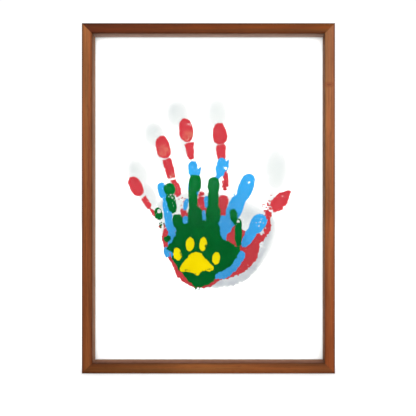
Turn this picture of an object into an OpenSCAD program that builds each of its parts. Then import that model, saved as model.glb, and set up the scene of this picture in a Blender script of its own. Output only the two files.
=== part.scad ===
// Portrait picture frame with nested family handprints behind a clear front.
// Millimetres. +Z is up, the front faces -Y, and the origin is the centre of the
// bottom rail's underside at the middle of the moulding's depth.

/* [Frame] */
// Overall width
frame_w = 224; // [204:1:300]
// Overall height
frame_h = 310; // [290:1:420]
// Width of the moulding seen from the front
rail_face = 9; // [8:0.5:14]
// Depth of the moulding from front to back
rail_depth = 18; // [17.8:0.1:24]
// How far the front lip covers the clear front
rabbet_overlap = 2.8; // [2.2:0.1:3.2]
// Depth of the front lip, in front of the clear front
lip_depth = 10.5; // [6:0.1:10.5]
// Rounding of the outer front edge
outer_edge_r = 0.8; // [0.3:0.1:1.5]
// Rounding of the sight edge
sight_edge_r = 1.2; // [0.3:0.1:2]
// Rounding of the outer back edge
back_edge_r = 0.5; // [0.2:0.1:1.5]

/* [Corner joints] */
// Thickness of a V-nail's wings
nail_t = 0.6; // [0.4:0.1:0.8]
// Length of one wing along its rail
nail_wing = 5; // [4:0.5:7]
// How deep a V-nail is driven in from the back
nail_h = 7; // [5:0.5:10]

/* [Glazing and backing] */
// Thickness of the clear front
clear_t = 1.5; // [1:0.1:2]
// Space between the clear front and the print sheet, which the paint fills
paint_space = 0.5; // [0.5:0.05:0.7]
// Thickness of the print sheet
sheet_t = 0.3; // [0.2:0.05:0.5]
// Thickness of the filler card
filler_t = 2; // [1:0.1:2]
// Thickness of the back board
board_t = 3; // [2:0.1:3]
// Clearance of the panes and boards to the rabbet walls, on each side
pane_gap = 0.4; // [0.2:0.1:1]
// Clearance of the print sheet at its left and right edges
sheet_gap_side = 0.8; // [0.3:0.1:1.5]
// Clearance of the print sheet at its top and bottom edges
sheet_gap_end = 0.3; // [0.2:0.1:1.5]

/* [Prints] */
// Size of all prints together
print_scale = 1; // [0.7:0.05:1]
// Thickness of one paint film
paint_t = 0.1; // [0.05:0.01:0.1]
// Centre of the prints, to the right of the sheet's centre
print_x = 0; // [-10:1:10]
// Centre of the prints, above the sheet's centre
print_z = 0; // [-10:1:20]

/* [Turn buttons] */
// Width of a turn button
button_w = 5.6; // [5:0.1:5.8]
// From the button's screw to its tip
button_reach = 14; // [11:0.5:16]
// Thickness of a turn button
button_t = 1; // [0.8:0.1:1.5]
// Distance between the two buttons on the left and on the right
button_pitch_side = 155; // [120:1:200]
// Distance between the two buttons at the top and at the bottom
button_pitch_end = 112; // [104:1:140]
// Radius of the screw's shank
screw_r = 1; // [0.8:0.05:1.1]
// Radius of the screw's head
screw_head_r = 2.3; // [2:0.1:2.6]
// Height of the screw's head
screw_head_h = 1.2; // [0.8:0.1:1.5]
// Length of the screw in the wood
screw_l = 9; // [6:0.5:12]

/* [Easel leg] */
// Height of the leg's hinge above the base
leg_pivot_z = 215; // [180:1:225]
// Height of the folded leg's foot above the base
leg_foot_z = 5; // [4:1:20]
// Width of the leg at the hinge
leg_top_w = 36; // [34:1:50]
// Width of the leg at its foot
leg_foot_w = 60; // [40:1:64]
// Thickness of the leg
leg_t = 2.4; // [2.2:0.1:3.5]
// Space between the folded leg and the back board
leg_gap = 0.3; // [0.2:0.05:0.6]
// How far the leg opens before its stop, in degrees
leg_open = 30; // [20:1:40]
// Thickness of the hinge leaves
leaf_t = 0.7; // [0.5:0.05:0.8]
// Width of the hinge
hinge_w = 30; // [26:1:32]
// Width of the hinge's middle knuckle
hinge_mid_w = 13; // [8:1:14]
// Length of a hinge leaf from the pin
leaf_l = 14; // [12:1:18]

/* [Hanging rings] */
// Radius of the ring's wire
wire_r = 0.8; // [0.6:0.05:1]
// Half of the ring's straight bar
ring_bar = 4; // [3.5:0.1:5]
// Radius of the ring's two upper bends
ring_bend_r = 1.8; // [1.4:0.1:2.4]
// Thickness of the hanger's strap
strap_t = 0.6; // [0.5:0.05:0.8]
// Distance of the portrait ring's bar below the back board's top edge
portrait_inset = 20.4; // [19.4:0.2:43]
// Distance of the landscape ring's bar from the back board's side edge
landscape_inset = 15.4; // [13.4:0.2:35]

/* [Hidden] */

$fn = 48;
// Segments of a rounded wood edge and of a plate's half-round end
edge_steps = 6;
end_steps = 16;
// Points round one printed pad
pad_steps = 24;
// What a cutter runs past the face that it opens
over = 1;

// Running clearance of a pin, screw or wire in its hole
run_clear = 0.05;
// Clearance round what is driven or riveted in
fit_clear = 0.02;

// Depths along Y, from the front to the back
front_y = -rail_depth / 2;
back_y = rail_depth / 2;
clear_y = front_y + lip_depth;
paint_y = clear_y + clear_t;
sheet_y = paint_y + paint_space;
filler_y = sheet_y + sheet_t;
board_y = filler_y + filler_t;
board_back_y = board_y + board_t;

// Rabbet opening that the panes lie in, and the wood behind it
land_w = rail_face - rabbet_overlap;
opening_w = frame_w - 2 * land_w;
opening_h = frame_h - 2 * land_w;
mid_z = frame_h / 2;

// Places of the turn buttons: x, z and the direction that each points in
button_x = frame_w / 2 - land_w / 2;
button_sites = [
    [-button_x, mid_z - button_pitch_side / 2, 0],
    [-button_x, mid_z + button_pitch_side / 2, 0],
    [button_x, mid_z - button_pitch_side / 2, 180],
    [button_x, mid_z + button_pitch_side / 2, 180],
    [-button_pitch_end / 2, land_w / 2, 90],
    [button_pitch_end / 2, land_w / 2, 90],
    [-button_pitch_end / 2, frame_h - land_w / 2, 270],
    [button_pitch_end / 2, frame_h - land_w / 2, 270]
];
button_y = back_y + run_clear;
screw_head_y = button_y + button_t + run_clear;
screw_tip_h = 2;
screw_point_r = 0.2;

// Hinge of the leg: the folded leg, its gap and its leaf fill the knuckle's diameter.
// A leaf lies between leaf_face and leaf_back from the pin's axis.
knuckle_seat = 0.02;
knuckle_r = (leg_gap + leg_t + leaf_t) / 2 - knuckle_seat;
hinge_bore_r = knuckle_r - leaf_t;
hinge_pin_r = hinge_bore_r - run_clear;
hinge_y = board_back_y + knuckle_r + knuckle_seat;
knuckle_gap = 0.3;
knuckle_clear = 0.4;
leaf_back = knuckle_r + knuckle_seat;
leaf_face = leaf_back - leaf_t;
stop_gap = 0.06;
stop_h = (leaf_face * (1 + cos(leg_open)) - stop_gap) / sin(leg_open);
pin_head_r = knuckle_r - 0.2;
pin_head_h = 0.5;
leg_y = board_back_y + leg_gap;
leg_drop = knuckle_r + knuckle_clear;
leg_corner = 3;
rivet_r = 1;
rivet_head_r = 1.9;
rivet_head_h = 0.8;
rivet_pitch = 18;
leaf_edge = 1.6;
rivet_z = leaf_l - rivet_head_r - leaf_edge;

// Hangers
curl_bore_r = wire_r + run_clear;
curl_r = curl_bore_r + strap_t;
strap_back = curl_r + knuckle_seat;
curl_y = board_back_y + strap_back;
curl_end_gap = 0.3;
strap_w = 2 * (ring_bar - curl_end_gap);
ring_r = ring_bar + ring_bend_r;
strap_end_gap = 0.6;
strap_l = ring_bend_r + ring_r - wire_r - strap_end_gap;
strap_rivet_r = 0.8;
strap_rivet_head_r = 1.6;
strap_rivet_head_h = 0.6;
rivet_edge = 0.7;
strap_rivet_z = strap_l - strap_rivet_head_r - rivet_edge;
portrait_z = mid_z + opening_h / 2 - pane_gap - portrait_inset;
landscape_x = opening_w / 2 - pane_gap - landscape_inset;

// Prints, in millimetres from the middle of the prints on the sheet.
// A finger is root x, root z, tip x, tip z, half width and its number of pads.
// A palm pad is x, z, half width, half height and tilt in degrees.
white_fingers = [
    [-40, -22, -65, 34, 6.2, 3], [-26, -6, -49, 66, 6.2, 3], [-9, 2, -28, 85, 6.6, 3],
    [12, 2, 8, 87, 6.6, 3], [52, -34, 63, 41, 7.4, 2]
];
white_palm = [[-13, -40, 31, 36, 12], [14, -22, 35, 26, -4], [26, -46, 28, 30, 24], [2, -60, 26, 18, 0]];
red_fingers = [
    [-41, -28, -71, 19, 6, 3], [-22, -12, -45, 56, 6.2, 3], [-8, -8, -23, 72, 6.2, 3],
    [15, -8, 8, 68, 6, 3], [46, -38, 73, 6, 6.6, 2]
];
red_palm = [[-16, -42, 27, 32, 8], [6, -20, 32, 20, 0], [20, -46, 25, 27, 20], [-4, -62, 26, 17, 0]];
blue_fingers = [
    [-34, -32, -44, 14, 3.6, 2], [-9, -18, -14, 33, 5.4, 2], [7, -18, 13, 36, 5.2, 2],
    [18, -38, 38, 22, 6.8, 1], [31, -46, 48, -16, 6.2, 1]
];
blue_palm = [[-16, -40, 23, 27, 6], [6, -30, 22, 22, 0], [10, -50, 21, 23, 14]];
green_fingers = [
    [-38, -32, -47, -9, 3.8, 2], [-27, -24, -37, 13, 4.4, 3], [-13, -20, -13, 20, 5.2, 1],
    [3, -20, 4, 18, 4.6, 1], [27, -44, 22, -10, 3.6, 2]
];
green_palm = [[-9, -44, 30, 18, 0], [-6, -33, 20, 17, 0], [-8, -62, 20, 18, 0], [12, -50, 17, 16, 0]];
paw_toes = [[-28.5, -50.5, 4.1, 6, 4], [-17.5, -41.5, 4.1, 6.4, 0], [-5.5, -41.5, 3.8, 6.3, 0], [6.5, -54, 4, 6, -4]];
paw_pad = [[-10.5, -57, 8.5, 7.5, 0], [-18.5, -63, 7.6, 4.6, 14], [-3, -63, 7.2, 4.6, -14], [-11, -65.5, 6.5, 3.6, 0]];
// Shares of a finger that its pads take, from the tip down, and the bare crease between them
pad_share = [0.29, 0.24, 0.3];
crease_share = 0.03;
// A pad's corners: 1 is an ellipse, and less is squarer
tip_square = 0.9;
joint_square = 0.55;
joint_taper = 0.78;

// Points of an arc about c
function arc(c, r, from, to, steps) =
    [for (i = [0 : steps]) let (a = from + (to - from) * i / steps) c + r * [cos(a), sin(a)]];

// Outline of a printed pad
function pad_outline(half_w, half_l, square) =
    [for (i = [0 : pad_steps - 1])
        let (a = 360 * i / pad_steps, c = cos(a), s = sin(a))
            [half_w * sign(c) * pow(abs(c), square), half_l * sign(s) * pow(abs(s), square)]];

// A flat piece: its 2D outline in X and Z, from y to y + t
module upright(y, t) {
    translate([0, y + t, 0])
        rotate([90, 0, 0])
            linear_extrude(t)
                children();
}

// A rectangle in X and Z about the middle of the frame
module centred_sheet(w, h) {
    translate([-w / 2, mid_z - h / 2])
        square([w, h]);
}

// A round bar along Y, from y to y + l
module bar_y(y, l, r) {
    translate([0, y, 0])
        rotate([-90, 0, 0])
            cylinder(h = l, r = r);
}

// A round bar along X, centred
module bar_x(l, r) {
    rotate([0, 90, 0])
        cylinder(h = l, r = r, center = true);
}

// The moulding's section: X runs in from the outer face, Y runs to the back
module rail_section() {
    polygon(concat(
        arc([outer_edge_r, front_y + outer_edge_r], outer_edge_r, 180, 270, edge_steps),
        arc([rail_face - sight_edge_r, front_y + sight_edge_r], sight_edge_r, -90, 0, edge_steps),
        [[rail_face, clear_y], [land_w, clear_y], [land_w, back_y]],
        arc([back_edge_r, back_y - back_edge_r], back_edge_r, 90, 180, edge_steps)
    ));
}

// One side rail and one end rail, cut at 45 degrees at both ends
module side_rail() {
    intersection() {
        translate([-frame_w / 2, 0, 0])
            linear_extrude(frame_h)
                rail_section();
        upright(front_y, rail_depth)
            polygon([
                [-frame_w / 2, 0], [-frame_w / 2 + rail_face, rail_face],
                [-frame_w / 2 + rail_face, frame_h - rail_face], [-frame_w / 2, frame_h]
            ]);
    }
}

module end_rail() {
    intersection() {
        translate([frame_w / 2, 0, 0])
            rotate([0, -90, 0])
                linear_extrude(frame_w)
                    rail_section();
        upright(front_y, rail_depth)
            polygon([
                [-frame_w / 2, 0], [frame_w / 2, 0],
                [frame_w / 2 - rail_face, rail_face], [-frame_w / 2 + rail_face, rail_face]
            ]);
    }
}

// One V-nail in the lower left corner: a wing in each rail, meeting on the mitre
module corner_nail() {
    corner = land_w / 2 - nail_t / 2;
    translate([-frame_w / 2 + corner, back_y - nail_h, corner]) {
        cube([nail_wing, nail_h, nail_t]);
        cube([nail_t, nail_h, nail_wing]);
    }
}

module nails() {
    for (side = [0, 1], end = [0, 1])
        translate([0, 0, end * frame_h])
            mirror([0, 0, end])
                mirror([side, 0, 0])
                    corner_nail();
}

module at_button(i) {
    translate([button_sites[i][0], 0, button_sites[i][1]])
        rotate([0, -button_sites[i][2], 0])
            children();
}

// Pilot holes of the screws numbered first and first + 1
module pilot_holes(first) {
    for (i = [first, first + 1])
        at_button(i)
            bar_y(back_y - screw_l - fit_clear, screw_l + over, screw_r + fit_clear);
}

module cut_rail(first) {
    difference() {
        children();
        nails();
        pilot_holes(first);
    }
}

module top_rail() {
    color([0.45, 0.24, 0.13])
        cut_rail(6)
            translate([0, 0, frame_h])
                mirror([0, 0, 1])
                    end_rail();
}

module bottom_rail() {
    color([0.52, 0.31, 0.18])
        cut_rail(4)
            end_rail();
}

module left_rail() {
    color([0.53, 0.3, 0.18])
        cut_rail(0)
            side_rail();
}

module right_rail() {
    color([0.6, 0.35, 0.21])
        cut_rail(2)
            mirror([1, 0, 0])
                side_rail();
}

module corner_v_nails() {
    color("silver")
        nails();
}

module clear_front() {
    color([0.9, 0.95, 0.97, 0.3])
        upright(clear_y, clear_t)
            centred_sheet(opening_w - 2 * pane_gap, opening_h - 2 * pane_gap);
}

module print_sheet() {
    color("white")
        upright(sheet_y, sheet_t)
            centred_sheet(opening_w - 2 * sheet_gap_side, opening_h - 2 * sheet_gap_end);
}

module filler_card() {
    color([0.8, 0.74, 0.62])
        upright(filler_y, filler_t)
            centred_sheet(opening_w - 2 * pane_gap, opening_h - 2 * pane_gap);
}

// A finger print: a round tip pad and squarer joint pads, with a bare crease between them
module finger_pads(f) {
    reach = [f[2] - f[0], f[3] - f[1]];
    l = norm(reach);
    pads = f[5];
    share_sum = pads == 2 ? pad_share[0] + pad_share[1] : 1;
    function starts(i) = i == 0 ? 0 : starts(i - 1) + pad_share[i - 1] / share_sum + crease_share;
    translate([f[0], f[1]])
        rotate(atan2(reach[1], reach[0]) - 90)
            for (i = [0 : pads - 1]) {
                share = pads == 1 ? 1 : pad_share[i] / share_sum - crease_share / pads;
                translate([0, l * (1 - starts(i) - share / 2)])
                    polygon(pad_outline(
                        f[4] * (i == 0 ? 1 : joint_taper), l * share / 2, i == 0 ? tip_square : joint_square
                    ));
            }
}

module round_pads(pads) {
    for (p = pads)
        translate([p[0], p[1]])
            rotate(p[4])
                polygon(pad_outline(p[2], p[3], 1));
}

// A paint film, numbered from the sheet towards the viewer
module film(level) {
    upright(sheet_y - (level + 1) * paint_t, paint_t)
        translate([print_x, mid_z + print_z])
            scale(print_scale)
                children();
}

module hand(level, fingers, palm) {
    film(level) {
        union() {
            for (f = fingers)
                finger_pads(f);
            round_pads(palm);
        }
    }
}

module handprint_white() {
    color([0.95, 0.97, 0.96])
        hand(0, white_fingers, white_palm);
}

module handprint_red() {
    color([0.86, 0.25, 0.28])
        hand(1, red_fingers, red_palm);
}

module handprint_blue() {
    color([0.25, 0.69, 0.98])
        hand(2, blue_fingers, blue_palm);
}

module handprint_green() {
    color([0.02, 0.42, 0.16])
        hand(3, green_fingers, green_palm);
}

module pawprint_yellow() {
    color([1, 0.87, 0.02])
        film(4)
            union() {
                round_pads(paw_toes);
                round_pads(paw_pad);
            }
}

module at_leg_hinge() {
    translate([0, hinge_y, leg_pivot_z])
        children();
}

module at_portrait_ring() {
    translate([0, curl_y, portrait_z])
        children();
}

module at_landscape_ring() {
    translate([landscape_x, curl_y, mid_z])
        rotate([0, 90, 0])
            children();
}

// Rivets of a hinge leaf: the shank runs from y0 to y1, and the head stands on y1
module leaf_rivets(y0, y1, extra_r) {
    for (x = [-rivet_pitch / 2, rivet_pitch / 2])
        translate([x, 0, rivet_z]) {
            bar_y(y0, y1 - y0, rivet_r + extra_r);
            if (extra_r == 0)
                dome(y1, rivet_head_r, rivet_head_h);
        }
}

// A low domed head that stands on y
module dome(y, r, h) {
    ball_r = (r * r + h * h) / (2 * h);
    intersection() {
        translate([0, y + h - ball_r, 0])
            sphere(r = ball_r, $fn = 64);
        bar_y(y, h + over, r + over);
    }
}

module strap_rivet(shank_l, extra_r) {
    translate([0, 0, -strap_rivet_z]) {
        bar_y(-strap_back - shank_l, shank_l + strap_t, strap_rivet_r + extra_r);
        if (extra_r == 0)
            dome(strap_t - strap_back, strap_rivet_head_r, strap_rivet_head_h);
    }
}

module back_board() {
    color([0.58, 0.42, 0.28])
        difference() {
            upright(board_y, board_t)
                centred_sheet(opening_w - 2 * pane_gap, opening_h - 2 * pane_gap);
            at_leg_hinge()
                leaf_rivets(-leaf_back - board_t - over, -leaf_face, fit_clear);
            at_portrait_ring()
                strap_rivet(board_t + over, fit_clear);
            at_landscape_ring()
                strap_rivet(board_t + over, fit_clear);
        }
}

// A turn button at the origin, pointing along +X
module turn_button(i) {
    r = button_w / 2;
    color([0.78, 0.79, 0.8])
        at_button(i)
            difference() {
                upright(button_y, button_t)
                    polygon(concat(
                        arc([0, 0], r, 90, 270, end_steps),
                        arc([button_reach - r, 0], r, -90, 90, end_steps)
                    ));
                bar_y(button_y - over, button_t + 2 * over, screw_r + run_clear);
            }
}

module turn_button_left_low() {
    turn_button(0);
}

module turn_button_left_high() {
    turn_button(1);
}

module turn_button_right_low() {
    turn_button(2);
}

module turn_button_right_high() {
    turn_button(3);
}

module turn_button_bottom_left() {
    turn_button(4);
}

module turn_button_bottom_right() {
    turn_button(5);
}

module turn_button_top_left() {
    turn_button(6);
}

module turn_button_top_right() {
    turn_button(7);
}

// A pan-head screw with a cross recess, driven in from the back
module button_screw() {
    slot_w = screw_head_r * 0.3;
    slot_l = screw_head_r * 1.2;
    slot_d = screw_head_h * 0.55;
    difference() {
        union() {
            dome(screw_head_y, screw_head_r, screw_head_h);
            bar_y(back_y - screw_l + screw_tip_h, screw_head_y - back_y + screw_l - screw_tip_h, screw_r);
            translate([0, back_y - screw_l, 0])
                rotate([-90, 0, 0])
                    cylinder(h = screw_tip_h, r1 = screw_point_r, r2 = screw_r);
        }
        for (size = [[slot_l, slot_w], [slot_w, slot_l]])
            translate([-size[0] / 2, screw_head_y + screw_head_h - slot_d, -size[1] / 2])
                cube([size[0], slot_d + over, size[1]]);
    }
}

module button_screws() {
    color([0.72, 0.72, 0.73])
        for (i = [0 : len(button_sites) - 1])
            at_button(i)
                button_screw();
}

module easel_leg() {
    top = -leg_drop;
    foot = leg_foot_z - leg_pivot_z;
    color([0.5, 0.35, 0.22])
        difference() {
            translate([0, 0, leg_pivot_z])
                upright(leg_y, leg_t)
                    polygon([
                        [-leg_top_w / 2 + leg_corner, top], [leg_top_w / 2 - leg_corner, top],
                        [leg_top_w / 2, top - leg_corner], [leg_foot_w / 2, foot + leg_corner],
                        [leg_foot_w / 2 - leg_corner, foot], [-leg_foot_w / 2 + leg_corner, foot],
                        [-leg_foot_w / 2, foot + leg_corner], [-leg_top_w / 2, top - leg_corner]
                    ]);
            at_leg_hinge()
                mirror([0, 0, 1])
                    leaf_rivets(leaf_face - leg_t - over, leaf_back, fit_clear);
        }
}

// A hinge leaf about the pin: its plate runs up the board, its knuckles fill the spans
module hinge_leaf(spans, tab_h) {
    difference() {
        union() {
            translate([-hinge_w / 2, -leaf_back, leg_drop])
                cube([hinge_w, leaf_t, leaf_l - leg_drop]);
            for (s = spans) {
                translate([s[0], -leaf_back, -tab_h])
                    cube([s[1] - s[0], leaf_t, leg_drop + tab_h + over]);
                translate([(s[0] + s[1]) / 2, 0, 0])
                    bar_x(s[1] - s[0], knuckle_r);
            }
        }
        bar_x(hinge_w + 2 * over, hinge_bore_r);
        leaf_rivets(-leaf_back - over, -leaf_face + over, fit_clear);
    }
}

module leg_hinge_board_leaf() {
    inner = hinge_mid_w / 2 + knuckle_gap;
    color("silver")
        at_leg_hinge()
            hinge_leaf([[-hinge_w / 2, -inner], [inner, hinge_w / 2]], 0);
}

// The leg's leaf has one knuckle, and a tab past the pin that stops on the board's leaf
module leg_hinge_leg_leaf() {
    color("silver")
        at_leg_hinge()
            rotate([180, 0, 0])
                hinge_leaf([[-hinge_mid_w / 2, hinge_mid_w / 2]], stop_h);
}

module leg_hinge_pin() {
    color([0.6, 0.6, 0.62])
        at_leg_hinge() {
            bar_x(hinge_w + 2 * run_clear, hinge_pin_r);
            for (side = [-1, 1])
                translate([side * (hinge_w / 2 + run_clear + pin_head_h / 2), 0, 0])
                    bar_x(pin_head_h, pin_head_r);
        }
}

module leg_rivets() {
    color([0.75, 0.75, 0.76])
        at_leg_hinge()
            mirror([0, 0, 1])
                leaf_rivets(leaf_face - leg_t, leaf_back, 0);
}

module board_rivets() {
    color([0.75, 0.75, 0.76])
        at_leg_hinge()
            leaf_rivets(-leaf_back - board_t, -leaf_face, 0);
}

// A short strap folded round the ring's bar, with its plate below the bar
module hanger_strap() {
    color([0.76, 0.76, 0.74])
        difference() {
            union() {
                translate([-strap_w / 2, -strap_back, -strap_l])
                    cube([strap_w, strap_t, strap_l]);
                bar_x(strap_w, curl_r);
            }
            bar_x(strap_w + 2 * over, curl_bore_r);
            strap_rivet(over, fit_clear);
        }
}

// A D-shaped ring of round wire, hanging from its straight bar
module hanger_ring() {
    color([0.8, 0.8, 0.8])
        union() {
            bar_x(2 * ring_bar, wire_r);
            for (side = [0, 1])
                mirror([side, 0, 0])
                    translate([ring_bar, 0, -ring_bend_r])
                        rotate([90, 0, 0])
                            rotate_extrude(angle = 90)
                                translate([ring_bend_r, 0])
                                    circle(r = wire_r);
            translate([0, 0, -ring_bend_r])
                rotate([90, 180, 0])
                    rotate_extrude(angle = 180)
                        translate([ring_r, 0])
                            circle(r = wire_r);
        }
}

module portrait_hanger_strap() {
    at_portrait_ring()
        hanger_strap();
}

module portrait_ring() {
    at_portrait_ring()
        hanger_ring();
}

module landscape_hanger_strap() {
    at_landscape_ring()
        hanger_strap();
}

module landscape_ring() {
    at_landscape_ring()
        hanger_ring();
}

module hanger_rivets() {
    color([0.75, 0.75, 0.76]) {
        at_portrait_ring()
            strap_rivet(board_t, 0);
        at_landscape_ring()
            strap_rivet(board_t, 0);
    }
}

top_rail();
bottom_rail();
left_rail();
right_rail();
corner_v_nails();
clear_front();
print_sheet();
handprint_white();
handprint_red();
handprint_blue();
handprint_green();
pawprint_yellow();
filler_card();
back_board();
turn_button_left_low();
turn_button_left_high();
turn_button_right_low();
turn_button_right_high();
turn_button_bottom_left();
turn_button_bottom_right();
turn_button_top_left();
turn_button_top_right();
button_screws();
easel_leg();
leg_hinge_board_leaf();
leg_hinge_leg_leaf();
leg_hinge_pin();
leg_rivets();
board_rivets();
portrait_hanger_strap();
portrait_ring();
landscape_hanger_strap();
landscape_ring();
hanger_rivets();
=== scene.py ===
import math
from collections import namedtuple

import bpy
import numpy as np
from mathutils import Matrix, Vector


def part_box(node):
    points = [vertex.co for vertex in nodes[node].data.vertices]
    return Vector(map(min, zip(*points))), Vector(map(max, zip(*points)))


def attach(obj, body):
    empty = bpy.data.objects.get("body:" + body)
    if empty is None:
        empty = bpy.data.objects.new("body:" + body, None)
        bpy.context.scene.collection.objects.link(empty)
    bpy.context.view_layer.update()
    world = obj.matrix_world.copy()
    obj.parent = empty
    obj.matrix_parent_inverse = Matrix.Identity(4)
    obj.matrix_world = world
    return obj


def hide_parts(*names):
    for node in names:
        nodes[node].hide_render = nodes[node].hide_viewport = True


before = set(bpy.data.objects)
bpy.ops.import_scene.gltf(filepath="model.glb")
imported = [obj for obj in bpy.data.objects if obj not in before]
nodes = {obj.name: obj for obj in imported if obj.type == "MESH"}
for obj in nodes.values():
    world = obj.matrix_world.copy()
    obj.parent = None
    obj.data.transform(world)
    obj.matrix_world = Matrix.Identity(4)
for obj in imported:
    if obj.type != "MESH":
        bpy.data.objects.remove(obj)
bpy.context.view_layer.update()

MM = 0.001

# The frame's main places, in metres
FRAME_LOW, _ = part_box("bottom_rail")
_, FRAME_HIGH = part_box("top_rail")
FACE_Y = FRAME_LOW.y
FRAME_W = FRAME_HIGH.x - FRAME_LOW.x
FRAME_H = FRAME_HIGH.z
MID_Z = FRAME_H / 2
RAIL_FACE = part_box("left_rail")[1].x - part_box("left_rail")[0].x

# Camera: the photograph's size, its scale at the frame's face and the place of the frame's centre, in its
# pixels, and how far the eye is to the right of the frame's middle and in front of its face, in metres
PHOTO_PX = 416
PX_PER_M = 1131.8
FRAME_CENTRE_PX = (208.37, 198.31)
EYE_X = 0.022
EYE_DISTANCE = 0.410
SENSOR_MM = 36
NEAREST = 0.01
FARTHEST = 100


def add_camera():
    data = bpy.data.cameras.new("camera")
    data.sensor_width = SENSOR_MM
    data.lens = PX_PER_M * EYE_DISTANCE * SENSOR_MM / PHOTO_PX
    data.shift_x = (-EYE_X * PX_PER_M - (FRAME_CENTRE_PX[0] - PHOTO_PX / 2)) / PHOTO_PX
    data.shift_y = (FRAME_CENTRE_PX[1] - PHOTO_PX / 2) / PHOTO_PX
    data.clip_start = NEAREST
    data.clip_end = FARTHEST
    camera = bpy.data.objects.new("camera", data)
    camera.location = (EYE_X, FACE_Y - EYE_DISTANCE, MID_Z)
    camera.rotation_euler = (math.pi / 2, 0, 0)
    bpy.context.collection.objects.link(camera)
    bpy.context.scene.camera = camera


# Studio: a white world, a pale floor and large soft lamps
WORLD_STRENGTH = 1.06
FLOOR_SIZE = 12
FLOOR_TONE = (0.96, 0.96, 0.96)
LAMPS = {
    # name: place, size and power in watts; each lamp points at the frame's middle
    "front": ((0.0, -2.2, 0.25), 1.9, 53),
    "overhead": ((0.2, -0.9, 1.9), 1.6, 5),
    "front_right": ((1.3, -1.5, 0.3), 1.0, 4),
    "back": ((0.2, 1.6, 1.4), 1.2, 10),
}


def add_lamp(name, place, size, power):
    data = bpy.data.lights.new(name, "AREA")
    data.shape = "DISK"
    data.size = size
    data.energy = power
    lamp = bpy.data.objects.new(name, data)
    lamp.location = place
    aim = np.array([0, 0, MID_Z]) - np.array(place)
    lamp.rotation_euler = (
        math.atan2(math.hypot(aim[0], aim[1]), -aim[2]), 0, math.atan2(-aim[0], aim[1]),
    )
    bpy.context.collection.objects.link(lamp)


def add_studio():
    scene = bpy.context.scene
    scene.view_settings.view_transform = "Standard"
    world = bpy.data.worlds.new("studio")
    world.use_nodes = True
    background = world.node_tree.nodes["Background"]
    background.inputs["Color"].default_value = (1, 1, 1, 1)
    background.inputs["Strength"].default_value = WORLD_STRENGTH
    scene.world = world
    for name, (place, size, power) in LAMPS.items():
        add_lamp(name, place, size, power)
    half = FLOOR_SIZE / 2
    corners = [(-half, -half, 0), (half, -half, 0), (half, half, 0), (-half, half, 0)]
    mesh = bpy.data.meshes.new("floor")
    mesh.from_pydata(corners, [], [(0, 1, 2, 3)])
    floor = bpy.data.objects.new("floor", mesh)
    bpy.context.collection.objects.link(floor)
    graph = Graph("floor")
    graph.principled(FLOOR_TONE, roughness=0.7, specular=0.1)
    mesh.materials.append(graph.material)


# Materials
def linear(rgb):
    """An sRGB colour of 0 to 255 as linear light, by the sRGB formula."""
    return tuple((v / 255 / 12.92) if v <= 10 else ((v / 255 + 0.055) / 1.055) ** 2.4 for v in rgb)


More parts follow.
